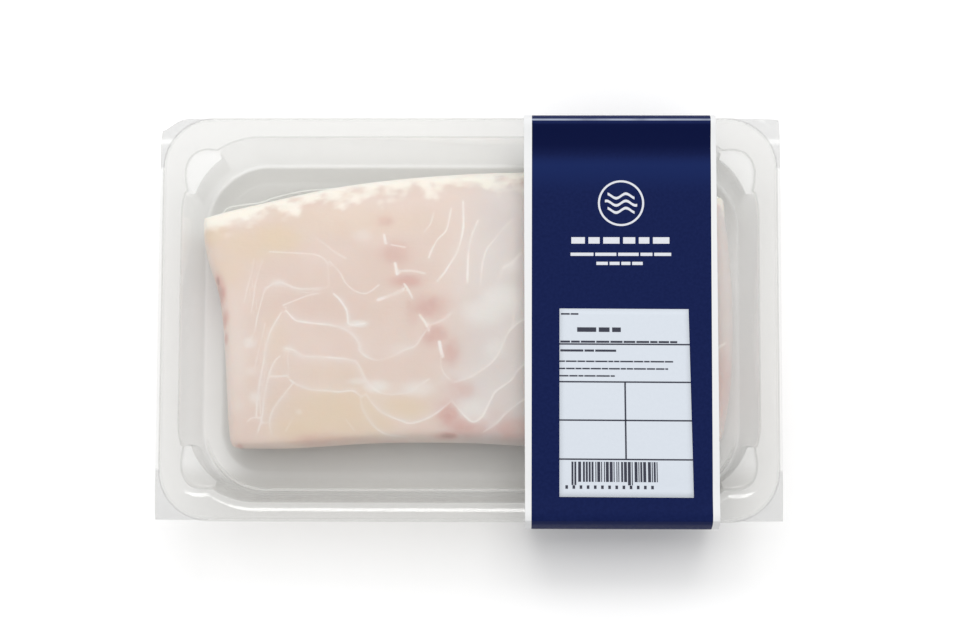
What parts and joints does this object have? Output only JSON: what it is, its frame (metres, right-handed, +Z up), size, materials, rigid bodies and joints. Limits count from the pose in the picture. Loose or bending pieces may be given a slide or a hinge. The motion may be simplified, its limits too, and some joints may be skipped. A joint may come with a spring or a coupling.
{
  "type": "sealed tray pack of white fish fillet",
  "caption": "Raw cod fillet portion in a clear formed tray sealed with clear film, with a card sleeve and a paper label.",
  "frame": {"origin": "under the middle of the pack, on the surface it stands on", "axes": "+X along the tray towards the sleeve, +Y across it towards the label's upper edge, +Z up"},
  "size_m": [0.2316, 0.1554, 0.0419],
  "materials": {
    "tray_plastic": "clear gloss",
    "film_plastic": "clear gloss",
    "fish_flesh": "wet, slightly translucent",
    "sleeve_card": "satin printed card",
    "label_paper": "smooth paper"
  },
  "bodies": {
    "root": {"tray": "tray_plastic", "film": "film_plastic", "fillet": "fish_flesh", "sleeve": "sleeve_card", "label": "label_paper"}
  },
  "joints": []
}
